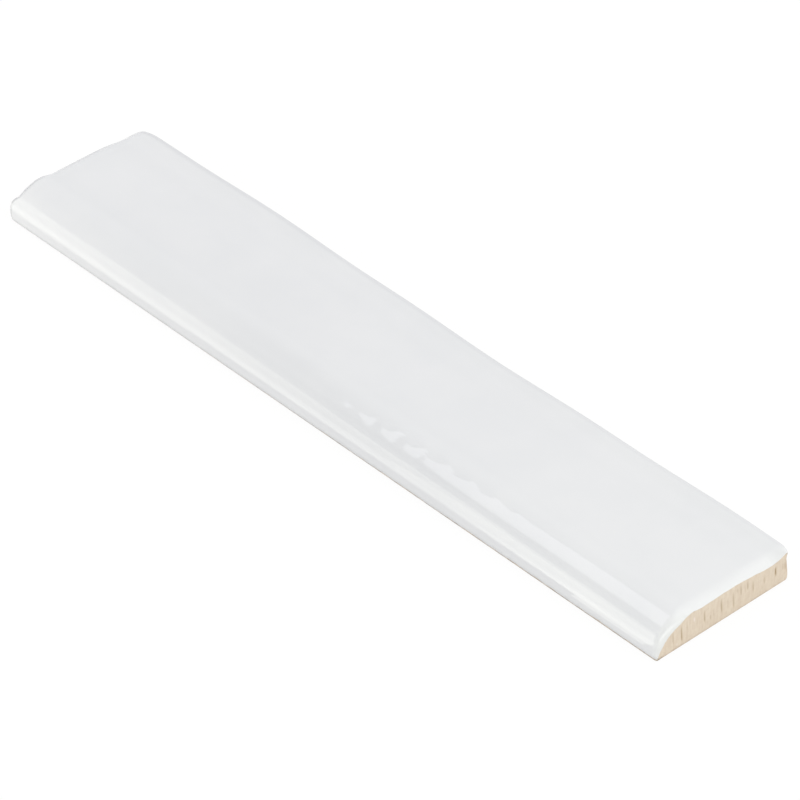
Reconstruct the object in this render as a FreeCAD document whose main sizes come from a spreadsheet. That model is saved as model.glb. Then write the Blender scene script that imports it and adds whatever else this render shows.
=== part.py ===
import FreeCAD, Part
import math
import os

import Sketcher

# A glazed bullnose trim tile, lying on its bed with the glazed face up. Millimetres.
# X runs along the length and Y from the rounded bullnose to the square back edge.
# The origin is on the bed, at mid-length and mid-width.
# Reaches are measured from the bullnose foot, setbacks from the back edge, heights from the bed.
SIZES = {
    "tile_length": 250.0,
    "tile_width": 46.8,
    # control points of the glazed face, across the tile from the foot to the back edge
    "foot_height": 1.2,
    "toe_reach": 0.2,
    "toe_height": 4.4,
    "haunch_reach": 1.3,
    "haunch_height": 6.6,
    "shoulder_reach": 5.2,
    "shoulder_height": 9.2,
    "crest_reach": 10.8,
    "crest_height": 10.6,
    "valley_reach": 13.8,
    "valley_height": 9.0,
    "face_reach": 17.0,
    "face_height": 9.4,
    "dip_start": 19.0,
    "dip_brink": 12.0,
    "dip_setback": 6.8,
    "dip_height": 7.9,
    "lip_width": 1.6,
    "lip_height": 9.6,
    "lip_round": 0.8,
    # slow wave and ripple along the length, full at the back edge and fading out at the foot
    "wave_rise": 0.53,
    "wave_length": 170.0,
    "wave_crest": 56.0,
    "ripple_rise": 0.22,
    "ripple_length": 58.0,
    "ripple_crest": 58.0,
    # the face rolls down and its shoulder draws in over the last stretch of both ends
    "end_reach": 4.0,
    "left_drop": 1.4,
    "right_drop": 0.5,
    "shoulder_draw": 1.0,
    # rounded edges of the bare body
    "front_corner_round": 0.6,
    "back_corner_round": 2.0,
    "bed_edge_round": 0.4,
}

# distances of the sections from either end, in end reaches, and the even spans between them
END_STEPS = (-1, 0, 0.33, 0.67, 1, 2, 4, 8)
MIDDLE_SPANS = 9
SKIN_DEGREE = 3
LIP_LEAN = 0.2
# how far the cut that shapes the face runs clear of the blank
CLEAR = 3.0
BLANK_SPARE = 2.0
# a bounding box this small or this low is a point or on the bed
CLOSE = 1e-4

# places in a sketch, as it numbers them: its axes, and the points of a piece of geometry
AXES, UPRIGHT_AXIS = range(-1, -3, -1)
START, END, CENTRE = range(1, 4)

HALF_LENGTH = "Sizes.tile_length / 2"
BACK = "Sizes.tile_width"
HIGHEST = "Sizes.crest_height + Sizes.wave_rise + Sizes.ripple_rise"


def make_sheet(doc):
    """The driving dimensions, one to a row, each with its alias."""
    sheet = doc.addObject("Spreadsheet::Sheet", "Sizes")
    for row, (name, value) in enumerate(SIZES.items(), start=1):
        sheet.set(f"A{row}", name)
        sheet.set(f"B{row}", str(value))
        sheet.setAlias(f"B{row}", name)
    doc.recompute()


def value_of(body, size):
    return float(body.evalExpression(size))


def bind(body, sketch, size, kind, *where):
    """A dimension in a sketch that follows an expression of the sheet."""
    place = sketch.addConstraint(Sketcher.Constraint(kind, *where, value_of(body, size)))
    sketch.setExpression(f"Constraints[{place}]", size)


def place_point(body, sketch, geometry, point, reach, height):
    """Holds one point of a section at a reach and a height."""
    bind(body, sketch, reach, "DistanceX", AXES, START, geometry, point)
    bind(body, sketch, height, "DistanceY", AXES, START, geometry, point)


def new_sketch(body, name, role):
    """An empty sketch on one of the body's own origin planes."""
    sketch = body.newObject("Sketcher::SketchObject", name)
    plane = next(part for part in body.Origin.OriginFeatures if part.Role == role)
    sketch.AttachmentSupport = (plane, [""])
    sketch.MapMode = "FlatFace"
    return sketch


def add_outline(sketch, corners):
    """Straight lines from corner to corner, joined where they meet."""
    lines = []
    for here, there in zip(corners, corners[1:]):
        lines.append(sketch.addGeometry(Part.LineSegment(here, there)))
    for one, other in zip(lines, lines[1:]):
        sketch.addConstraint(Sketcher.Constraint("Coincident", one, END, other, START))
    return lines


def make_blank(body):
    """The bare block that the face is cut from, with its upright corners and bed edges rounded."""
    plan = new_sketch(body, "Plan", "XY_Plane")
    half_length = value_of(body, HALF_LENGTH)
    half_width = value_of(body, f"{BACK} / 2")
    signs = [(-1, -1), (1, -1), (1, 1), (-1, 1), (-1, -1)]
    corners = [FreeCAD.Vector(x * half_length, y * half_width, 0) for x, y in signs]
    front, right, back, left = add_outline(plan, corners)
    plan.addConstraint(Sketcher.Constraint("Coincident", left, END, front, START))
    for line in (front, back):
        plan.addConstraint(Sketcher.Constraint("Horizontal", line))
    for line in (right, left):
        plan.addConstraint(Sketcher.Constraint("Vertical", line))
    bind(body, plan, HALF_LENGTH, "DistanceX", AXES, START, back, START)
    bind(body, plan, f"{BACK} / 2", "DistanceY", AXES, START, back, START)
    bind(body, plan, HALF_LENGTH, "DistanceX", front, START, AXES, START)
    bind(body, plan, f"{BACK} / 2", "DistanceY", front, START, AXES, START)

    blank = body.newObject("PartDesign::Pad", "Blank")
    blank.Profile = plan
    blank.setExpression("Length", f"{HIGHEST} + {BLANK_SPARE}")
    body.Document.recompute()

    def upright(box, side):
        return box.XLength + box.YLength < CLOSE and side * box.Center.y > 0

    at_front = edges_where(blank.Shape, lambda box: upright(box, -1))
    front = make_fillet(body, blank, "FrontCorners", at_front, "Sizes.front_corner_round")
    at_back = edges_where(front.Shape, lambda box: upright(box, 1))
    back = make_fillet(body, front, "BackCorners", at_back, "Sizes.back_corner_round")
    on_bed = edges_where(back.Shape, lambda box: box.ZMax < CLOSE)
    make_fillet(body, back, "BedEdges", on_bed, "Sizes.bed_edge_round")


def edges_where(shape, test):
    """Names of the edges whose bounding box passes the test."""
    return [f"Edge{n}" for n, edge in enumerate(shape.Edges, start=1) if test(edge.BoundBox)]


def make_fillet(body, base, name, edges, radius):
    """A rounding of the given edges whose radius follows the sheet."""
    fillet = body.newObject("PartDesign::Fillet", name)
    fillet.Base = (base, edges)
    fillet.setExpression("Radius", radius)
    body.Document.recompute()
    return fillet


def stations():
    """Each section's distance from the left end, the drop of its face and the draw of its shoulder."""
    rolls = [(f"Sizes.end_reach * {step}", max(0, 1 - step) ** 2) for step in END_STEPS]
    left = []
    right = []
    for place, roll in rolls:
        draw = f"Sizes.shoulder_draw * {roll}"
        left.append((place, f"Sizes.left_drop * {roll}", draw))
        right.insert(0, (f"Sizes.tile_length - {place}", f"Sizes.right_drop * {roll}", draw))
    first, last = left[-1][0], right[0][0]
    middle = []
    for span in range(1, MIDDLE_SPANS):
        middle.append((f"{first} + ({last} - {first}) * {span} / {MIDDLE_SPANS}", "0", "0"))
    return left + middle + right


def swell(name, along):
    """Height of one of the waves along the length, at a distance from the left end."""
    turns = f"({along} - Sizes.{name}_crest) / Sizes.{name}_length"
    return f"Sizes.{name}_rise * cos(360 deg * {turns})"


def skin_poles(along, drop, draw):
    """Control points of the glazed skin at one station, from the back edge over to the foot."""
    waves = f"({swell('wave', along)} + {swell('ripple', along)})"
    level = [
        (BACK, "Sizes.lip_height - Sizes.lip_round"),
        (f"{BACK} - Sizes.lip_round * {LIP_LEAN}", "Sizes.lip_height"),
        (f"{BACK} - Sizes.lip_round", "Sizes.lip_height"),
        (f"{BACK} - Sizes.lip_width", "Sizes.lip_height"),
        (f"{BACK} - Sizes.dip_setback", "Sizes.dip_height"),
        (f"{BACK} - Sizes.dip_brink", "Sizes.face_height"),
        (f"{BACK} - Sizes.dip_start", "Sizes.face_height"),
        ("Sizes.face_reach", "Sizes.face_height"),
        ("Sizes.valley_reach", "Sizes.valley_height"),
        ("Sizes.crest_reach", "Sizes.crest_height"),
        (f"Sizes.shoulder_reach + {draw}", "Sizes.shoulder_height"),
        ("Sizes.haunch_reach", "Sizes.haunch_height"),
        ("Sizes.toe_reach", "Sizes.toe_height"),
    ]
    poles = []
    for reach, height in level:
        poles.append((reach, f"{height} + {waves} * ({reach}) / {BACK} - {drop}"))
    return poles + [("0", "Sizes.foot_height")]


def draw_skin(body, sketch, poles):
    """The glazed skin of a section as one curve, with each control point held by the sizes."""
    points = []
    for reach, height in poles:
        points.append(FreeCAD.Vector(value_of(body, reach), value_of(body, height), 0))
    spans = len(points) - SKIN_DEGREE
    repeats = [SKIN_DEGREE + 1] + [1] * (spans - 1) + [SKIN_DEGREE + 1]
    curve = Part.BSplineCurve()
    curve.buildFromPolesMultsKnots(points, repeats, list(range(spans + 1)), False, SKIN_DEGREE)
    skin = sketch.addGeometry(curve)
    first_pole = sketch.GeometryCount
    sketch.exposeInternalGeometry(skin)
    for pole, (reach, height) in enumerate(poles, start=first_pole):
        if reach == "0":
            sketch.addConstraint(Sketcher.Constraint("PointOnObject", pole, CENTRE, UPRIGHT_AXIS))
            bind(body, sketch, height, "DistanceY", AXES, START, pole, CENTRE)
        else:
            place_point(body, sketch, pole, CENTRE, reach, height)
    return skin, points[0], points[-1]


def close_over(body, sketch, skin, lip, foot):
    """Closes the section round the outside of the blank, from the foot over to the lip."""
    over = f"{HIGHEST} + {BLANK_SPARE} + {CLEAR}"
    left = -CLEAR
    right = value_of(body, f"{BACK} + {CLEAR}")
    top = value_of(body, over)
    ring = [
        foot,
        FreeCAD.Vector(left, foot.y, 0),
        FreeCAD.Vector(left, top, 0),
        FreeCAD.Vector(right, top, 0),
        FreeCAD.Vector(right, lip.y, 0),
        lip,
    ]
    out, rise, across, fall, back = add_outline(sketch, ring)
    sketch.addConstraint(Sketcher.Constraint("Coincident", skin, END, out, START))
    sketch.addConstraint(Sketcher.Constraint("Coincident", back, END, skin, START))
    for line in (out, across, back):
        sketch.addConstraint(Sketcher.Constraint("Horizontal", line))
    for line in (rise, fall):
        sketch.addConstraint(Sketcher.Constraint("Vertical", line))
    bind(body, sketch, str(CLEAR), "DistanceX", out, END, AXES, START)
    place_point(body, sketch, across, END, f"{BACK} + {CLEAR}", over)


def make_section(body, name, along, drop, draw):
    """The space above the glazed skin at one station."""
    sketch = new_sketch(body, name, "YZ_Plane")
    sketch.setExpression("AttachmentOffset.Base.x", f"-{BACK} / 2")
    sketch.setExpression("AttachmentOffset.Base.z", f"{along} - {HALF_LENGTH}")
    skin, lip, foot = draw_skin(body, sketch, skin_poles(along, drop, draw))
    close_over(body, sketch, skin, lip, foot)
    return sketch


def shape_face(body):
    """Cuts away all that lies above the glazed skin."""
    sections = []
    for index, (along, drop, draw) in enumerate(stations()):
        sections.append(make_section(body, f"Section{index}", along, drop, draw))
    face = body.newObject("PartDesign::SubtractiveLoft", "GlazedFace")
    face.Profile = sections[0]
    face.Sections = sections[1:]


def check(doc, body):
    """Stops if any object failed or the tile is not one sound solid."""
    for item in doc.Objects:
        if "Invalid" in item.State or "Error" in item.State:
            raise RuntimeError(f"{item.Name} failed: {item.State}")
    for item in doc.findObjects("Sketcher::SketchObject"):
        if not item.FullyConstrained:
            raise RuntimeError(f"{item.Name} has loose geometry")
    shape = body.Shape
    if shape.isNull() or not shape.isValid() or len(shape.Solids) != 1:
        raise RuntimeError(f"{body.Label} is not one sound solid")


def main():
    doc = FreeCAD.newDocument("BullnoseTile")
    make_sheet(doc)
    body = doc.addObject("PartDesign::Body", "Tile")
    body.Label = "bullnose_tile"
    make_blank(body)
    shape_face(body)
    doc.recompute()
    check(doc, body)

    os.makedirs("parts", exist_ok=True)
    body.Shape.exportStep(f"parts/{body.Label}.step")
    box = body.Shape.optimalBoundingBox(True, False)
    print(f"{body.Label}: {box.XLength:.2f} x {box.YLength:.2f} x {box.ZLength:.2f} mm")
    print(f"volume {body.Shape.Volume:.0f} mm3, {len(body.Shape.Faces)} faces")


main()
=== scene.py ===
import math

import bpy
import numpy as np
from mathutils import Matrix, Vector, noise


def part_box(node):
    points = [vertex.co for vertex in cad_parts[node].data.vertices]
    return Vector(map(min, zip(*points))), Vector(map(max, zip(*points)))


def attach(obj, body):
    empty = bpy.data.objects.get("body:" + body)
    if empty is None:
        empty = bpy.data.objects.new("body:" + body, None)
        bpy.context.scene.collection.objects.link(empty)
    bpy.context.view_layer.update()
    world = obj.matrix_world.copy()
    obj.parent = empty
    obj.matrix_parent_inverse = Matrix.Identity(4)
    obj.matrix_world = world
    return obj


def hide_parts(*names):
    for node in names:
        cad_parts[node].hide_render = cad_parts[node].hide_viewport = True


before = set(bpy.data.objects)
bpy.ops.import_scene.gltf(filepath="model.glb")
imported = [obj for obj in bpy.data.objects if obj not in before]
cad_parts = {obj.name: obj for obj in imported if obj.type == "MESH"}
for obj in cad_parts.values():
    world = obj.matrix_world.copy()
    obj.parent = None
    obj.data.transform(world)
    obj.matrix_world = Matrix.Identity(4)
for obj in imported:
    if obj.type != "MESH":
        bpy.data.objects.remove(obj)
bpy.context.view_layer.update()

# The tile lies on its bed. Shapes are worked out in millimetres: run is the distance from the left
# end, reach the distance from the bullnose foot, height the distance from the bed.
NODE = "bullnose_tile"
MM = 0.001
LOW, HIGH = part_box(NODE)
LENGTH = (HIGH.x - LOW.x) / MM
WIDTH = (HIGH.y - LOW.y) / MM
TOP = HIGH.z / MM
LEFT, RIGHT = 0, 1
GLAZE, CLAY = 0, 1

# Section across the tile: control points (reach, height) of the glazed skin, from the foot over to
# the back edge
GLAZE_FOOT = (0.08, 0.6)
GLAZE_FACE = [
    (0.0, 2.2),
    (0.2, 4.4),
    (1.3, 6.6),
    (5.2, 9.2),
    (10.8, 10.6),
    (13.8, 9.0),
    (17.0, 9.4),
    (27.8, 9.4),
    (WIDTH - 12.0, 9.4),
    (WIDTH - 6.8, 7.9),
    (WIDTH - 2.0, 9.55),
]
GLAZE_LIP = [
    (WIDTH - 1.1, 9.5),
    (WIDTH - 0.3, 9.38),
    (WIDTH - 0.0, 9.0),
    (WIDTH - 0.2, 8.5),
]
# Away from the ends the crest, the valley and the dip are softer: the heights of these control
# points of the face, and how far the sharper shape reaches from the ends
SOFT_HEIGHTS = {4: 10.1, 5: 9.7, 6: 9.48, 9: 8.6}
SHARP_REACH = 2.2
# The bare back edge, from under the glaze down to the bed: it narrows to a slight waist
BACK_EDGE = [
    (WIDTH - 0.42, 8.3),
    (WIDTH - 0.75, 7.5),
    (WIDTH - 0.7, 6.3),
    (WIDTH - 0.3, 4.0),
    (WIDTH - 0.02, 2.2),
    (WIDTH - 0.02, 1.0),
    (WIDTH - 0.15, 0.25),
    (WIDTH - 0.6, 0.0),
]
# The bare foot, from the bed up to the glaze
FOOT_EDGE = [
    (0.25, 0.0),
    (0.1, 0.05),
    (0.1, 0.3),
]

# Slow swells along the back edge: rise, length and place of a crest
SWELLS = [
    (0.53, 170.0, 56.0),
    (0.22, 58.0, 58.0),
]
# Short ripples on the shoulder, past the middle of the tile: rise, length, where one begins to rise,
RIPPLE_RISE = 0.1
RIPPLE_LENGTH = 9.0
RIPPLE_START = 143.5
# share and shift of a second wave that is twice as fast,
RIPPLE_SECOND, RIPPLE_SHIFT = 0.35, 0.6
# where they are strongest, how soon they fade before and after it, reach and half their width
RIPPLE_MIDDLE = 149.5
RIPPLE_BEFORE, RIPPLE_AFTER = 10.5, 9.0
RIPPLE_REACH, RIPPLE_HALF = 5.6, 1.5
# Lumps above the ripples and in step with them, which fade more slowly after it: rise, shift,
# how soon they fade, reach and half their width
LUMP_RISE = 0.14
LUMP_TURN = 3.6
LUMP_AFTER = 34.0
LUMP_REACH, LUMP_HALF = 7.6, 1.4
# Gentle unevenness of the whole face: rise, size of its hollows, how much shorter they are across
# the tile, seed, and where it fades at the foot
UNEVEN_RISE = 0.05
UNEVEN_SIZE = 26.0
UNEVEN_ACROSS = 1.4
UNEVEN_SEED = 3.7
UNEVEN_FROM, UNEVEN_FADE = 1.0, 6.0
# The back left corner hangs a little: how deep, and how far along and across the tile
CORNER_DROOP = 1.4
DROOP_RUN, DROOP_REACH = 4.5, 3.5
# From this height on, the skin takes the whole of all these, and less towards the bed
LIFT_FULL = 8.0

# Both ends roll over. At a distance along the skin from the foot of the glaze: how deep the roll
# is, how far from the end it begins, and how much of it is a quarter round and not a slope
LEFT_ROLL = [
    (0.0, 0.9, 1.6, 1.0),
    (1.2, 0.4, 1.4, 1.0),
    (3.0, 0.2, 1.2, 1.0),
    (4.6, 0.25, 1.2, 1.0),
    (5.6, 0.7, 1.8, 1.0),
    (7.0, 2.8, 2.6, 1.0),
    (8.2, 3.2, 3.0, 1.0),
    (10.0, 3.0, 3.2, 1.0),
    (50.0, 3.0, 3.2, 1.0),
    (53.0, 2.6, 3.0, 1.0),
]
RIGHT_ROLL = [
    (0.0, 0.5, 1.4, 1.0),
    (0.9, 0.9, 1.4, 1.0),
    (2.0, 1.35, 1.5, 1.0),
    (3.8, 2.2, 1.7, 1.0),
    (6.0, 2.6, 1.8, 1.0),
    (9.0, 2.45, 2.0, 1.0),
    (12.6, 2.5, 2.6, 0.9),
    (14.6, 2.2, 3.2, 0.6),
    (16.6, 1.5, 3.7, 0.3),
    (18.6, 0.75, 3.9, 0.25),
    (22.0, 0.85, 3.9, 0.25),
    (33.0, 0.85, 3.9, 0.25),
    (37.6, 1.15, 3.9, 0.25),
    (41.6, 1.2, 3.9, 0.25),
    (45.6, 0.9, 3.7, 0.25),
    (49.0, 1.1, 3.5, 0.3),
    (51.0, 1.1, 3.2, 0.3),
    (53.0, 0.9, 2.6, 0.3),
]
# Depth and length of the roll on the bare edges, and the seed of the whole roll's waver
LEFT_EDGES = {"back": (2.0, 2.2), "foot": (1.1, 1.6), "seed": 1.1}
RIGHT_EDGES = {"back": (0.6, 1.0), "foot": (0.4, 0.8), "seed": 0.4}
ROLL_WAVER = 0.12
ROLL_LEAST = 0.1
# How far along the skin the directions of the rolls are blended
BLEND = 3.5

# How far the bare body stands back from the edge of its glaze, at the ends
STEP_BACK = 0.12
# The edge of the glaze at the back wavers up and down
GLAZE_WAVER = 0.25
GLAZE_SEED = 7.1
# The bare strip under the glaze along the foot: its height at the left and the right end
FOOT_STRIP = (0.12, 0.5)
FOOT_WAVER = 0.22
FOOT_SEED = 2.7
FOOT_LEAST = 0.04
# the height up to which the skin is drawn down with the edge of the glaze
FOOT_TOP = 2.4
# A wavering line: length of its slower part, share of the quicker part, and their layers of noise
WAVER_LENGTH = 3.0
WAVER_QUICK = 0.5
SLOW_LAYER, QUICK_LAYER = 1.3, 7.1

# The glaze is greyed where the left end turns over, between these shares of the roll's depth:
# thinner glaze there and painted shade on the roll. It is greyed a little at the nose of the
# right end too, as painted shade, fading out between two distances along the skin
THIN_SHADE_FROM, THIN_SHADE_FULL, LEFT_THIN_SHADE = 0.02, 0.12, 0.72
NOSE_SHADE, NOSE_SHADE_LAST, NOSE_SHADE_NONE = 0.08, 8.0, 14.0
# It is greyed along the foot, low on the bullnose and along the back edge too, as thinner glaze
# and painted shade: how far along the skin from the edge of the glaze, half the width of the
# strip, and how grey
FOOT_THIN_SHADE, FOOT_THIN_SHADE_MOST = 0.8, 0.4
WALL_THIN_SHADE, WALL_THIN_SHADE_HALF, WALL_THIN_SHADE_MOST = 2.5, 0.7, 0.1
BACK_THIN_SHADE, BACK_THIN_SHADE_HALF, BACK_THIN_SHADE_MOST = 1.7, 0.9, 0.26
# how much of the back's greying, thinner glaze and painted shade, is gone at the right end
BACK_THIN_SHADE_FADE = 0.7
# Soft patches of painted shade on the glaze: run, half its length, reach, half its width, how grey
SHADE_PATCHES = [
    (170.0, 75.0, 3.1, 0.9, 0.13),
    (140.0, 55.0, 1.1, 0.9, 0.11),
    (108.0, 32.0, 6.5, 3.7, 0.09),
    (162.0, 30.0, 5.0, 2.0, 0.08),
    (75.0, 50.0, 20.0, 14.0, 0.06),
]

# Upright drag marks on the bare ends: reach, lowest and highest height, and strength. A chip
# of a paler tone has a strength below 0
END_MARKS = [
    (5.9, 2.2, 6.4, 0.45),
    (8.9, 1.3, 6.6, 0.85),
    (10.7, 4.0, 6.6, 0.30),
    (14.2, 3.0, 6.0, 0.20),
    (16.9, 2.8, 6.6, 0.75),
    (19.0, 2.6, 4.2, 0.50),
    (20.0, 3.0, 6.0, 0.30),
    (22.8, 2.7, 7.2, 0.85),
    (25.0, 2.4, 6.4, 0.25),
    (27.1, 1.6, 6.8, 0.65),
    (28.3, 5.8, 7.2, 0.40),
    (29.6, 4.4, 7.7, 0.60),
    (31.2, 4.0, 7.0, 0.25),
    (32.0, 4.6, 7.5, 0.65),
    (34.0, 2.8, 6.6, 0.60),
    (37.2, 1.8, 3.4, 0.30),
    (38.0, 3.3, 5.7, 0.50),
    (42.0, 3.5, 6.3, 1.20),
    (44.6, 4.0, 6.2, 0.45),
    (45.4, 3.6, 6.2, 0.55),
    (13.2, 5.2, 6.9, -0.75),
    (7.4, 0.8, 1.7, -0.55),
]
# depth of a mark, half its width, and how much it leans
MARK_DEPTH = 0.2
MARK_HALF = 0.24
MARK_LEAN = -0.1
# how much stronger a mark is at its lower end than at its middle
MARK_LOW = 0.4
# Grain of the bare ends: depth, grains to the millimetre across and up, and seed
GRAIN_DEPTH = 0.03
GRAIN_ACROSS, GRAIN_UP = 2.2, 0.5
GRAIN_SEED = 5.5

# Fineness of the mesh: points across the glazed skin, rows up the bare edges, rings in a roll, and
# millimetres between the rings from there on
SKIN_POINTS = 196
SIDE_ROWS = 26
ROLL_STEPS = 16
MIDDLE_STEP = 0.95
# the last row of bare clay before the glaze, and all the rows, as shares of the way up to it
UNDER_GLAZE = 0.975
ROW_SHARES = np.append(np.linspace(0, UNDER_GLAZE, SIDE_ROWS - 1), 1)
# Curves: their degree, the steps in which a length is measured, and how far the last sample stays
# inside the end
DEGREE = 3
FINE_STEPS = 3000
INSIDE = 1e-9
# An edge between two faces is sharp from this angle on, in degrees
SHARP = 48.0


# Curves
def knot(index, count):
    """Knot of a clamped cubic curve with evenly spaced knots between its ends."""
    return min(max(index - DEGREE, 0), count - DEGREE)


def weights(count, samples):
    """How much each control point of a clamped cubic curve counts at each sample along it."""
    along = np.clip(samples, 0, count - DEGREE - INSIDE)
    table = []
    for i in range(count + DEGREE):
        table.append(((knot(i, count) <= along) & (along < knot(i + 1, count))).astype(float))
    for degree in range(1, DEGREE + 1):
        rows = []
        for i in range(len(table) - 1):
            row = np.zeros_like(along)
            before = knot(i + degree, count) - knot(i, count)
            after = knot(i + degree + 1, count) - knot(i + 1, count)
            if before:
                row += (along - knot(i, count)) / before * table[i]
            if after:
                row += (knot(i + degree + 1, count) - along) / after * table[i + 1]
            rows.append(row)
        table = rows
    return np.array(table).T


def curve_through(points, shares):
    """Points at shares of the way along a clamped cubic curve with the given control points."""
    count = len(points)
    return weights(count, shares * (count - DEGREE)) @ np.array(points, float)


def distances_along(path):
    """Distance along a path from its first point to each of its points."""
    steps = np.linalg.norm(np.diff(path, axis=0), axis=1)
    return np.concatenate([[0.0], np.cumsum(steps)])


def even_shares(points, count):
    """Shares of the way along a curve whose points lie at equal distances from each other."""
    fine = np.linspace(0, 1, FINE_STEPS)
    along = distances_along(curve_through(points, fine))
    return np.interp(np.linspace(0, along[-1], count), along, fine)


def normals_of(path):
    """Unit normals of a path across the tile, to the left of its direction, which is outwards."""
    slope = np.gradient(path, axis=0)
    across = np.stack([-slope[:, 1], slope[:, 0]], axis=1)
    return across / np.linalg.norm(across, axis=1, keepdims=True)


def smoothed(directions, path, window):
    """Unit directions along a path, averaged over a window of its length."""
    along = distances_along(path)
    near = np.exp(-(((along[:, None] - along[None, :]) / window) ** 2))
    near *= np.gradient(along)[None, :]
    mixed = near @ directions / near.sum(axis=1, keepdims=True)
    return mixed / np.linalg.norm(mixed, axis=1, keepdims=True)


def bump(value, middle, half):
    """A smooth hump of height 1 around a value."""
    return math.exp(-(((value - middle) / half) ** 2))


def bumps(values, middle, half):
    """The same hump for an array of values."""
    return np.exp(-(((values - middle) / half) ** 2))


def waver(run, seed):
    """An uneven line along the length, between about -1 and 1."""
    slow = noise.noise(Vector((run / WAVER_LENGTH, seed, SLOW_LAYER)))
    return slow + WAVER_QUICK * noise.noise(Vector((run, seed, QUICK_LAYER)))


# The skin of the tile
class Section:
    """The outline across the tile without its bed: foot edge, glazed skin and back edge.
    The glaze goes from point start to point end. Distances along it count from start."""

    def __init__(self, face):
        even = even_shares([GLAZE_FOOT] + GLAZE_FACE + GLAZE_LIP, SKIN_POINTS)
        foot = curve_through(FOOT_EDGE + [GLAZE_FOOT], ROW_SHARES)
        skin = curve_through([GLAZE_FOOT] + face + GLAZE_LIP, even)
        back = curve_through(BACK_EDGE, np.linspace(0, 1, SIDE_ROWS - 1))
        self.path = np.concatenate([foot[:-1], skin, back])
        self.start = len(foot) - 1
        self.end = self.start + len(skin) - 1
        self.along = distances_along(self.path)
        self.along -= self.along[self.start]
        self.bare = np.ones(len(self.path))
        self.bare[self.start + 1:self.end] = 0


def swell(run):
    """Height of the slow waves at the back edge, at a distance from the left end."""
    height = 0.0
    for rise, length, crest in SWELLS:
        height += rise * math.cos(2 * math.pi * (run - crest) / length)
    return height


def relief(run, reach):
    """What the hand-made look adds to the height of the face."""
    before = run < RIPPLE_MIDDLE
    turn = 2 * math.pi * (run - RIPPLE_START) / RIPPLE_LENGTH
    wave = math.sin(turn) + RIPPLE_SECOND * math.sin(2 * turn + RIPPLE_SHIFT)
    ripple = RIPPLE_RISE * wave * bump(reach, RIPPLE_REACH, RIPPLE_HALF)
    ripple *= bump(run, RIPPLE_MIDDLE, RIPPLE_BEFORE if before else RIPPLE_AFTER)
    lump = LUMP_RISE * math.sin(turn + LUMP_TURN) * bump(reach, LUMP_REACH, LUMP_HALF)
    lump *= bump(run, RIPPLE_MIDDLE, RIPPLE_BEFORE if before else LUMP_AFTER)
    place = Vector((run / UNEVEN_SIZE, reach / UNEVEN_SIZE * UNEVEN_ACROSS, UNEVEN_SEED))
    fade = min(1.0, max(0.0, (reach - UNEVEN_FROM) / UNEVEN_FADE))
    return ripple + lump + UNEVEN_RISE * noise.noise(place) * fade


def lift(run, reach, height):
    """How far a point of the section is raised where it stands along the tile."""
    rise = swell(run) * reach / WIDTH + relief(run, reach)
    rise -= CORNER_DROOP * bump(run, 0, DROOP_RUN) * bump(reach, WIDTH, DROOP_REACH)
    return rise * min(1.0, height / LIFT_FULL)


def foot_line(run):
    """Height of the lower edge of the glaze along the foot."""
    share = run / LENGTH
    share = share * share * (3 - 2 * share)
    level = FOOT_STRIP[0] + (FOOT_STRIP[1] - FOOT_STRIP[0]) * share
    return max(FOOT_LEAST, level + FOOT_WAVER * share * waver(run, FOOT_SEED))


def lower_foot(ring, run):
    """Draws the lower edge of the glaze down to its line, and less of what is above it."""
    edge = GLAZE_FOOT[1]
    low = ring[:, 2] < FOOT_TOP
    heights = ring[low, 2]
    fade = np.clip((FOOT_TOP - heights) / (FOOT_TOP - edge), 0, 1)
    ring[low, 2] -= (1 - foot_line(run) / edge) * np.minimum(heights, edge) * fade


def rolls(section, table, edges):
    """Depth, length and roundness of an end's roll at each point of the section."""
    place, depth, length, part = np.array(table).T
    deep = np.interp(section.along, place, depth)
    far = np.interp(section.along, place, length)
    roundness = np.interp(section.along, place, part)
    deep += ROLL_WAVER * np.array([waver(distance, edges["seed"]) for distance in section.along])
    deep = np.maximum(deep, ROLL_LEAST)
    foot, back = slice(0, section.start), slice(section.end + 1, None)
    deep[foot], far[foot] = edges["foot"]
    deep[back], far[back] = edges["back"]
    return deep, far, roundness


def rolled(distance, deep, far, roundness):
    """How far an end's roll draws the skin in, at a distance from that end."""
    share = np.clip(1 - distance / far, 0, 1)
    round_part = 1 - np.sqrt(1 - share**2)
    return deep * (roundness * round_part + (1 - roundness) * share**2)


def turned(drawn, deep):
    """0 to 1 as the skin turns over an end's roll."""
    return np.clip((drawn / deep - THIN_SHADE_FROM) / (THIN_SHADE_FULL - THIN_SHADE_FROM), 0, 1)


def thinness_and_shade(section, run, turned_left, turned_right):
    """How grey the glaze is at each point of the section, from 0 to 1.
    It stands for thinner glaze and for painted shade.
    """
    along = section.along
    # The grey adds up thinner glaze and painted shade
    thin_and_shade = FOOT_THIN_SHADE_MOST * np.clip(1 - along / FOOT_THIN_SHADE, 0, 1)
    thin_and_shade += WALL_THIN_SHADE_MOST * bumps(along, WALL_THIN_SHADE, WALL_THIN_SHADE_HALF)
    back = BACK_THIN_SHADE_MOST * bumps(along[section.end] - along, BACK_THIN_SHADE, BACK_THIN_SHADE_HALF)
    thin_and_shade += back * (1 - BACK_THIN_SHADE_FADE * run / LENGTH)
    for place, length, reach, width, amount in SHADE_PATCHES:
        thin_and_shade += amount * bump(run, place, length) * bumps(section.path[:, 0], reach, width)
    nose = np.clip((NOSE_SHADE_NONE - along) / (NOSE_SHADE_NONE - NOSE_SHADE_LAST), 0, 1)
    thin_and_shade += NOSE_SHADE * nose * turned_right
    return np.maximum(LEFT_THIN_SHADE * turned_left, np.clip(thin_and_shade, 0, 1))


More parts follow.
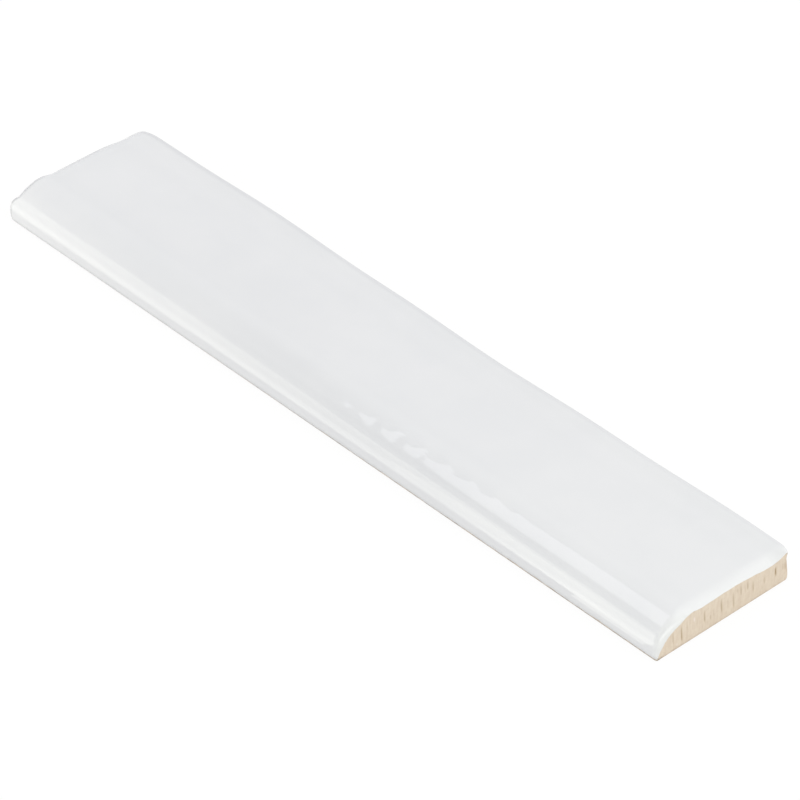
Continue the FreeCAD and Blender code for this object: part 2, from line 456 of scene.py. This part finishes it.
def stations():
    """Distances from the left end of the rings of points, dense in both rolls."""
    longest = max(row[2] for row in LEFT_ROLL + RIGHT_ROLL)
    turns = np.linspace(0, math.pi / 2, ROLL_STEPS)
    near = longest * (1 - np.cos(turns))
    count = round((LENGTH - 2 * longest) / MIDDLE_STEP)
    middle = np.linspace(longest, LENGTH - longest, count)[1:-1]
    return np.concatenate([near, middle, (LENGTH - near)[::-1]])


def make_rings(section):
    """The tile's skin as rings of points (run, reach, height), one ring to a station.
    Returns them with how grey the glaze is at each point, for thinner glaze and painted shade."""
    path = section.path
    soft_face = [(y, SOFT_HEIGHTS.get(i, z)) for i, (y, z) in enumerate(GLAZE_FACE)]
    softer = Section(soft_face).path - path
    outwards = smoothed(normals_of(path), path, BLEND)
    left = rolls(section, LEFT_ROLL, LEFT_EDGES)
    right = rolls(section, RIGHT_ROLL, RIGHT_EDGES)
    rings, thin_and_shade = [], []
    for run in stations():
        drawn_left = rolled(run, *left)
        drawn_right = rolled(LENGTH - run, *right)
        softness = 1 - bump(min(run, LENGTH - run), 0, SHARP_REACH)
        inwards = int(run == 0) - int(run == LENGTH)
        ring = np.empty((len(path), 3))
        ring[:, 0] = run + inwards * STEP_BACK * section.bare
        ring[:, 1:] = path + softness * softer - outwards * (drawn_left + drawn_right)[:, None]
        ring[:, 2] += [lift(run, reach, height) for reach, height in path]
        ring[section.end, 2] += GLAZE_WAVER * waver(run, GLAZE_SEED)
        lower_foot(ring, run)
        ring[:, 1] = np.clip(ring[:, 1], 0, WIDTH)
        ring[:, 2] = np.clip(ring[:, 2], 0, TOP)
        rings.append(ring)
        turns = turned(drawn_left, left[0]), turned(drawn_right, right[0])
        thin_and_shade.append(thinness_and_shade(section, run, *turns))
    return np.array(rings), np.array(thin_and_shade)


# The bare ends
def end_depth(reach, height, side):
    """How deep the drag marks and the grain of a bare end are, and how strong a mark is there."""
    mark = 0.0
    for place, lowest, highest, strength in END_MARKS:
        middle = (lowest + highest) / 2
        centre = (place if side == RIGHT else WIDTH - place) + MARK_LEAN * (height - middle)
        rise = (height - middle) / (highest - middle)
        fade = math.exp(-(rise**4)) * (1 - MARK_LOW * max(-1.0, min(1.0, rise)))
        mark += strength * bump(reach, centre, MARK_HALF) * fade
    grain = noise.noise(Vector((reach * GRAIN_ACROSS, height * GRAIN_UP, side + GRAIN_SEED)))
    return MARK_DEPTH * max(0.0, mark) + GRAIN_DEPTH * grain, mark


def end_grid(ring, section):
    """The points over one end, in rows from the bed up to the edge of the glaze."""
    foot = ring[:section.start + 1]
    skin = ring[section.start:section.end + 1]
    back = ring[section.end:][::-1]
    across = ((skin[:, 1] - skin[0, 1]) / (skin[-1, 1] - skin[0, 1]))[:, None]
    bed = foot[0] + (back[0] - foot[0]) * across
    rows = []
    for j, up in enumerate(ROW_SHARES):
        row = (1 - up) * bed + up * skin + (1 - across) * foot[j] + across * back[j]
        row -= (1 - up) * ((1 - across) * foot[0] + across * back[0])
        row -= up * ((1 - across) * foot[-1] + across * back[-1])
        rows.append(row)
    return np.maximum(np.array(rows), 0)


# The mesh
class TileMesh:
    """Collects the tile's points and faces, with the kind of surface of each face."""

    def __init__(self, rings, thin_and_shade):
        self.stations, self.count = thin_and_shade.shape
        self.points = [tuple(point) for ring in rings for point in ring]
        self.marks = [0.0] * len(self.points)
        self.thin_and_shade = [float(value) for row in thin_and_shade for value in row]
        self.faces = []
        self.kinds = []

    def add_face(self, corners, kind):
        self.faces.append(corners)
        self.kinds.append(kind)

    def add_point(self, point, mark):
        self.points.append(tuple(point))
        self.marks.append(mark)
        self.thin_and_shade.append(0.0)
        return len(self.points) - 1


def add_skin(tile, section):
    """Faces between the rings, all round but for the bed."""
    for s in range(tile.stations - 1):
        for p in range(tile.count - 1):
            here, there = s * tile.count + p, (s + 1) * tile.count + p
            kind = GLAZE if section.start <= p < section.end else CLAY
            tile.add_face((there, there + 1, here + 1, here), kind)


def add_end(tile, ring, section, side):
    """The bare face of one end. Returns the indices of its lowest row of points."""
    grid = end_grid(ring, section)
    columns = grid.shape[1]
    inwards = 1 if side == LEFT else -1
    edge = 0.0 if side == LEFT else LENGTH
    first = 0 if side == LEFT else (tile.stations - 1) * tile.count
    index = np.zeros((SIDE_ROWS, columns), int)
    index[:, 0] = first + np.arange(SIDE_ROWS)
    index[:, -1] = first + tile.count - 1 - np.arange(SIDE_ROWS)
    index[-1] = first + section.start + np.arange(columns)
    for j in range(SIDE_ROWS - 1):
        for i in range(1, columns - 1):
            reach, height = grid[j, i, 1:]
            depth, mark = end_depth(reach, height, side)
            run = edge + inwards * (STEP_BACK + depth)
            index[j, i] = tile.add_point((run, reach, height), mark)
    for j in range(SIDE_ROWS - 1):
        kind = GLAZE if j == SIDE_ROWS - 2 else CLAY
        for i in range(columns - 1):
            corners = (index[j, i], index[j, i + 1], index[j + 1, i + 1], index[j + 1, i])
            tile.add_face(corners[::-1] if side == LEFT else corners, kind)
    return [int(n) for n in index[0]]


def add_bed(tile, left_row, right_row):
    """The plain underside: one strip from front to back between each pair of stations."""
    for s in range(tile.stations - 1):
        near = [s * tile.count, (s + 1) * tile.count - 1]
        far = [(s + 2) * tile.count - 1, (s + 1) * tile.count]
        if s == 0:
            near = left_row
        if s == tile.stations - 2:
            far = right_row[::-1]
        tile.add_face(tuple(near + far), CLAY)


def make_tile(materials):
    """The whole tile as one closed piece, with its glaze and its bare clay."""
    section = Section(GLAZE_FACE)
    rings, thin_and_shade = make_rings(section)
    tile = TileMesh(rings, thin_and_shade)
    add_skin(tile, section)
    left_row = add_end(tile, rings[0], section, LEFT)
    right_row = add_end(tile, rings[-1], section, RIGHT)
    add_bed(tile, left_row, right_row)

    points = np.array(tile.points) * MM + np.array([LOW.x, LOW.y, 0.0])
    mesh = bpy.data.meshes.new("glazed_tile")
    mesh.from_pydata(points.tolist(), [], tile.faces)
    for material in materials:
        mesh.materials.append(material)
    mesh.polygons.foreach_set("material_index", tile.kinds)
    mesh.polygons.foreach_set("use_smooth", [True] * len(tile.faces))
    for name, values in (("mark", tile.marks), ("thin_and_shade", tile.thin_and_shade)):
        attribute = mesh.attributes.new(name, "FLOAT", "POINT")
        attribute.data.foreach_set("value", values)
    mesh.set_sharp_from_angle(angle=math.radians(SHARP))
    mesh.validate()
    piece = bpy.data.objects.new("glazed_tile", mesh)
    bpy.context.scene.collection.objects.link(piece)
    return piece


# Materials. The Mix node has sockets of the same name for each type, so they are told by number
MIX_SOCKETS = {"FLOAT": (2, 3, 0), "RGBA": (6, 7, 2)}
WHITE = (1.0, 1.0, 1.0)


class Nodes:
    """A node tree, with short ways to add and join nodes."""

    def __init__(self, tree):
        self.tree = tree

    def add(self, kind, **values):
        node = self.tree.nodes.new(kind)
        for name, value in values.items():
            setattr(node, name, value)
        return node

    def put(self, value, socket):
        """Gives a socket a number, a colour or another node's output."""
        if isinstance(value, bpy.types.NodeSocket):
            self.tree.links.new(value, socket)
        elif isinstance(value, tuple):
            socket.default_value = (*value, 1.0)
        else:
            socket.default_value = value

    def noise(self, scale, detail, stretch=(1, 1, 1)):
        """Noise fixed to the piece, with its scale in patches to the metre."""
        mapping = self.add("ShaderNodeMapping")
        mapping.inputs["Scale"].default_value = stretch
        self.put(self.add("ShaderNodeTexCoord").outputs["Object"], mapping.inputs["Vector"])
        texture = self.add("ShaderNodeTexNoise")
        self.put(scale, texture.inputs["Scale"])
        self.put(detail, texture.inputs["Detail"])
        self.put(mapping.outputs["Vector"], texture.inputs["Vector"])
        return texture.outputs["Fac"]

    def ramp(self, value, low, high, to_low=0.0, to_high=1.0):
        """A value carried from one range over to another, held at its ends."""
        node = self.add("ShaderNodeMapRange")
        bounds = {"From Min": low, "From Max": high, "To Min": to_low, "To Max": to_high}
        for name, bound in bounds.items():
            self.put(bound, node.inputs[name])
        self.put(value, node.inputs["Value"])
        return node.outputs["Result"]

    def math(self, operation, *values):
        """Arithmetic on values. Each is a number or another node's output."""
        node = self.add("ShaderNodeMath", operation=operation)
        for socket, value in zip(node.inputs, values):
            self.put(value, socket)
        return node.outputs["Value"]

    def mix(self, kind, share, one, other):
        """Two values or two colours mixed by a share. Each may be another node's output."""
        first, second, result = MIX_SOCKETS[kind]
        node = self.add("ShaderNodeMix", data_type=kind)
        self.put(share, node.inputs["Factor"])
        self.put(one, node.inputs[first])
        self.put(other, node.inputs[second])
        return node.outputs[result]

    def attribute(self, name):
        return self.add("ShaderNodeAttribute", attribute_name=name).outputs["Fac"]

    def bump(self, height, distance, strength=1.0):
        node = self.add("ShaderNodeBump")
        self.put(strength, node.inputs["Strength"])
        self.put(distance, node.inputs["Distance"])
        self.put(height, node.inputs["Height"])
        return node.outputs["Normal"]


def new_material(name):
    material = bpy.data.materials.new(name)
    material.use_nodes = True
    return material, Nodes(material.node_tree), material.node_tree.nodes["Principled BSDF"]


# Glaze. A noise is its patches to the metre and its detail. A ramp is the range of the noise and
# what it is carried to
GLAZE_WHITE = (0.797, 0.801, 0.825)
GLAZE_SHADE = (0.780, 0.786, 0.812)
# The grey of thinner glaze, also used as painted shade
GLAZE_THIN_SHADE = (0.54, 0.545, 0.57)
MOTTLE_NOISE = (60.0, 3.0)
MOTTLE_RAMP = (0.35, 0.65)
GLOSS_NOISE = (220.0, 2.0)
GLOSS_RAMP = (0.3, 0.7, 0.012, 0.024)
DIMPLE_NOISE = (160.0, 1.0)
DIMPLE_HEIGHT = 0.00002
GLAZE_IOR = 1.55


def make_glaze():
    """Gloss white glaze with a faint mottle, greyer where the glaze is thinner and where shade is
    painted.
    """
    material, nodes, shader = new_material("glaze")
    mottle = nodes.ramp(nodes.noise(*MOTTLE_NOISE), *MOTTLE_RAMP)
    colour = nodes.mix("RGBA", mottle, GLAZE_WHITE, GLAZE_SHADE)
    # greyed for thinner glaze and for painted shade
    colour = nodes.mix("RGBA", nodes.attribute("thin_and_shade"), colour, GLAZE_THIN_SHADE)
    nodes.put(colour, shader.inputs["Base Color"])
    nodes.put(nodes.ramp(nodes.noise(*GLOSS_NOISE), *GLOSS_RAMP), shader.inputs["Roughness"])
    nodes.put(nodes.bump(nodes.noise(*DIMPLE_NOISE), DIMPLE_HEIGHT), shader.inputs["Normal"])
    nodes.put(GLAZE_IOR, shader.inputs["IOR"])
    return material


# Clay, with patches and upright streaks between its light and its dark tone
CLAY_LIGHT = (0.765, 0.665, 0.566)
CLAY_DARK = (0.69, 0.575, 0.475)
CLAY_MARK = (0.42, 0.30, 0.18)
# dark brown of grime and painted contact shade along the bottom
CLAY_GRIME_SHADE = (0.36, 0.31, 0.265)
CLAY_CHIP = (0.84, 0.73, 0.69)
PATCH_NOISE = (900.0, 4.0)
PATCH_RAMP = (0.35, 0.65)
PATCH_SHARE = 0.4
STREAK_NOISE = (1700.0, 2.0, (1.0, 1.0, 0.14))
STREAK_RAMP = (0.35, 0.7)
STREAK_SHARE = 0.6
MARK_RAMP = (0.05, 1.0, 0.0, 0.9)
CHIP_RAMP = (-0.1, -0.6)
# The grime and painted contact shade along the bottom edge: how high it reaches, where it
# thickens near the foot, its share away from there, and how patchy it is
GRIME_SHADE_TOP, GRIME_SHADE_FULL = 0.7, 0.15
GRIME_SHADE_NEAR, GRIME_SHADE_FAR = 0.8, 2.8
GRIME_SHADE_AWAY = 0.2
GRIME_SHADE_NOISE = (450.0, 3.0)
GRIME_SHADE_RAMP = (0.38, 0.6, 0.35, 1.0)
PORE_NOISE = (3500.0, 3.0)
PORE_HEIGHT, PORE_STRENGTH = 0.00008, 0.7
CLAY_ROUGHNESS = 0.9
CLAY_SPECULAR = 0.3


def grime_and_shade_share(nodes):
    """How much grime and painted contact shade there is on the clay."""
    place = nodes.add("ShaderNodeSeparateXYZ")
    nodes.put(nodes.add("ShaderNodeTexCoord").outputs["Object"], place.inputs[0])
    low = nodes.ramp(place.outputs["Z"], GRIME_SHADE_TOP * MM, GRIME_SHADE_FULL * MM)
    far, near = LOW.y + GRIME_SHADE_FAR * MM, LOW.y + GRIME_SHADE_NEAR * MM
    at_foot = nodes.ramp(place.outputs["Y"], far, near, GRIME_SHADE_AWAY, 1.0)
    patchy = nodes.ramp(nodes.noise(*GRIME_SHADE_NOISE), *GRIME_SHADE_RAMP)
    return nodes.math("MULTIPLY", nodes.math("MULTIPLY", low, at_foot), patchy)


def make_clay():
    """Bare fired clay: buff, dull and streaked, darker in the drag marks, and darker along the
    bottom with grime and painted shade.
    """
    material, nodes, shader = new_material("bare_clay")
    patches = nodes.ramp(nodes.noise(*PATCH_NOISE), *PATCH_RAMP)
    streaks = nodes.ramp(nodes.noise(*STREAK_NOISE), *STREAK_RAMP)
    patches = nodes.math("MULTIPLY", patches, PATCH_SHARE)
    tone = nodes.math("MULTIPLY_ADD", streaks, STREAK_SHARE, patches)
    colour = nodes.mix("RGBA", tone, CLAY_LIGHT, CLAY_DARK)
    mark = nodes.ramp(nodes.attribute("mark"), *MARK_RAMP)
    colour = nodes.mix("RGBA", mark, colour, CLAY_MARK)
    chip = nodes.ramp(nodes.attribute("mark"), *CHIP_RAMP)
    colour = nodes.mix("RGBA", chip, colour, CLAY_CHIP)
    # grime and painted contact shade along the bottom
    colour = nodes.mix("RGBA", grime_and_shade_share(nodes), colour, CLAY_GRIME_SHADE)
    nodes.put(colour, shader.inputs["Base Color"])
    pores = nodes.bump(nodes.noise(*PORE_NOISE), PORE_HEIGHT, PORE_STRENGTH)
    nodes.put(pores, shader.inputs["Normal"])
    nodes.put(CLAY_ROUGHNESS, shader.inputs["Roughness"])
    nodes.put(CLAY_SPECULAR, shader.inputs["Specular IOR Level"])
    return material


# The studio: a pale floor that shows white to the camera, and pale light from all round
FLOOR_SIDE = 8.0
FLOOR_DROP = 0.00003
FLOOR_COLOUR = (0.8, 0.8, 0.8)
WHITE_SHARE = 0.88
WHITE_STRENGTH = 1.03
WORLD_STRENGTH = 0.97
CAMERA_STRENGTH = 1.0
# What a gloss sees of the world: nothing in front, one strength behind the tile at the left and
# one at the right, and another straight to the right
BACK_SHINE, RIM_SHINE = 0.48, 1.3
SIDE_SHINE = 3.0
# where each begins and is in full, as the direction's part towards the right or the back
RIM_FROM, RIM_TO = -0.45, 0.1
BACK_FROM, BACK_TO = 0.12, 0.48
SIDE_FROM, SIDE_TO = 0.88, 0.97


def make_floor():
    """A wide level floor that stays white round the tile and keeps its shadow."""
    material, nodes, shader = new_material("floor")
    nodes.put(FLOOR_COLOUR, shader.inputs["Base Color"])
    nodes.put(1.0, shader.inputs["Roughness"])
    nodes.put(0.0, shader.inputs["Specular IOR Level"])
    white = nodes.add("ShaderNodeEmission")
    nodes.put(WHITE_STRENGTH, white.inputs["Strength"])
    path = nodes.add("ShaderNodeLightPath")
    seen = nodes.math("MAXIMUM", path.outputs["Is Camera Ray"], path.outputs["Is Glossy Ray"])
    mix = nodes.add("ShaderNodeMixShader")
    nodes.put(nodes.math("MULTIPLY", seen, WHITE_SHARE), mix.inputs["Fac"])
    nodes.put(shader.outputs["BSDF"], mix.inputs[1])
    nodes.put(white.outputs["Emission"], mix.inputs[2])
    nodes.put(mix.outputs["Shader"], nodes.tree.nodes["Material Output"].inputs["Surface"])
    half = FLOOR_SIDE / 2
    corners = [(-half, -half), (half, -half), (half, half), (-half, half)]
    mesh = bpy.data.meshes.new("floor")
    mesh.from_pydata([(x, y, -FLOOR_DROP) for x, y in corners], [], [(0, 1, 2, 3)])
    mesh.materials.append(material)
    floor = bpy.data.objects.new("floor", mesh)
    bpy.context.scene.collection.objects.link(floor)
    return floor


def make_world():
    """Pale light from all round. A gloss sees it dark in front of the tile, pale behind it and
    bright to the right."""
    world = bpy.data.worlds.new("studio")
    bpy.context.scene.world = world
    world.use_nodes = True
    nodes = Nodes(world.node_tree)
    way = nodes.add("ShaderNodeSeparateXYZ")
    nodes.put(nodes.add("ShaderNodeTexCoord").outputs["Generated"], way.inputs[0])
    shine = nodes.ramp(way.outputs["X"], RIM_FROM, RIM_TO, BACK_SHINE, RIM_SHINE)
    shine = nodes.math("MULTIPLY", shine, nodes.ramp(way.outputs["Y"], BACK_FROM, BACK_TO))
    side = nodes.ramp(way.outputs["X"], SIDE_FROM, SIDE_TO, 0.0, SIDE_SHINE)
    shine = nodes.math("MAXIMUM", shine, side)
    path = nodes.add("ShaderNodeLightPath")
    strength = nodes.mix("FLOAT", path.outputs["Is Glossy Ray"], WORLD_STRENGTH, shine)
    strength = nodes.mix("FLOAT", path.outputs["Is Camera Ray"], strength, CAMERA_STRENGTH)
    background = nodes.tree.nodes["Background"]
    nodes.put(WHITE, background.inputs["Color"])
    nodes.put(strength, background.inputs["Strength"])


# Lamps that light only what is matt: name, place, aim, width and height, radiance and colour
MATT_LAMPS = [
    ("back_light", (0.418, 0.724, 0.996), (0.0, 0.0, 0.0), (0.6, 0.6), 1.09, (1.0, 1.0, 0.92)),
    ("right_light", (0.62, -0.16, 0.26), (0.1, 0.0, 0.0), (0.3, 0.3), 1.8, (0.93, 1.0, 0.68)),
    ("left_light", (-0.25, -0.15, 0.045), (-0.12, 0.0, 0.0), (0.1, 0.06), 4.0, (1.0, 0.98, 0.82)),
]
# Lamps that only a gloss shows, given in the same way: they make the long highlights
BAND_TINT = (1.0, 1.0, 0.9)
SHOULDER_TINT = (0.95, 0.95, 1.0)
GLOSS_LAMPS = [
    ("band_box", (-0.78, -0.91, 0.435), (0.0, 0.0, 0.435), (0.96, 0.87), 1.3, BAND_TINT),
    ("right_band_box", (-0.12, -0.49, 0.13), (0.173, -0.148, 0.13), (0.3, 0.26), 0.9, BAND_TINT),
    ("shoulder_box", (-0.495, -0.19, 1.0), (-0.495, -0.19, 0.0), (0.39, 0.49), 1.25, SHOULDER_TINT),
    ("shoulder_strip", (-0.455, 0.105, 1.0), (-0.455, 0.105, 0.0), (0.31, 0.1), 1.25, SHOULDER_TINT),
]
# Cards on the floor that only a gloss shows: left and right edge, near and far edge, radiance.
# Their near edges give the highlight on the bullnose its lower edge, and the last ones make its
# right part brighter bit by bit
CARDS = [
    (-0.45, 0.118, -0.0285, -0.038, 1.25),
    (-0.45, 0.118, -0.038, -0.5005, 1.0),
    (-0.45, -0.055, -0.0273, -0.0285, 1.0),
    (0.093, 0.118, -0.0257, -0.0285, 1.4),
    (0.055, 0.118, -0.0287, -0.13, 0.35),
    (0.070, 0.118, -0.0287, -0.13, 0.35),
    (0.085, 0.118, -0.0287, -0.13, 0.35),
]
CARD_TINT = (1.0, 1.0, 0.88)
CARD_HEIGHT = 0.0003


def make_lamp(name, place, aim, size, radiance, colour):
    """A soft box that shines from its place to its aim, and that the camera doesn't see."""
    width, height = size
    light = bpy.data.lights.new(name, "AREA")
    light.shape = "RECTANGLE"
    light.size, light.size_y = width, height
    light.energy = radiance * math.pi * width * height
    light.color = colour
    lamp = bpy.data.objects.new(name, light)
    place, aim = Vector(place), Vector(aim)
    lamp.location = place
    lamp.rotation_euler = (aim - place).to_track_quat("-Z", "Y").to_euler()
    lamp.visible_camera = False
    bpy.context.scene.collection.objects.link(lamp)
    return lamp


def make_card(left, right, near, far, radiance):
    """A lamp flat on the floor that shines up."""
    x, y = (left + right) / 2, (near + far) / 2
    size = (right - left, near - far)
    return make_lamp("floor_card", (x, y, CARD_HEIGHT), (x, y, 1.0), size, radiance, CARD_TINT)


def make_lamps():
    """All the lamps, each kept from what it isn't meant to light."""
    for values in MATT_LAMPS:
        make_lamp(*values).visible_glossy = False
    for values in GLOSS_LAMPS:
        make_lamp(*values).visible_diffuse = False
    for values in CARDS:
        make_card(*values).visible_diffuse = False


# The camera, as fitted to the tile's edges in the photograph
CAMERA_AZIMUTH = 47.33175
CAMERA_ELEVATION = 38.270085
CAMERA_LENS = 226.3
CAMERA_PLACE = (0.76432, -0.69792, 0.81323)


def make_camera():
    """The camera of the photograph."""
    data = bpy.data.cameras.new("camera")
    data.lens = CAMERA_LENS
    camera = bpy.data.objects.new("camera", data)
    camera.location = CAMERA_PLACE
    tip = math.radians(90.0 - CAMERA_ELEVATION)
    camera.rotation_euler = (tip, 0.0, math.radians(CAMERA_AZIMUTH))
    bpy.context.scene.collection.objects.link(camera)
    bpy.context.scene.camera = camera


# The scene
make_camera()
make_world()
make_floor()
make_lamps()
tile_piece = make_tile([make_glaze(), make_clay()])
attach(tile_piece, "root")
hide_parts(NODE)
bpy.context.scene.view_settings.view_transform = "Standard"
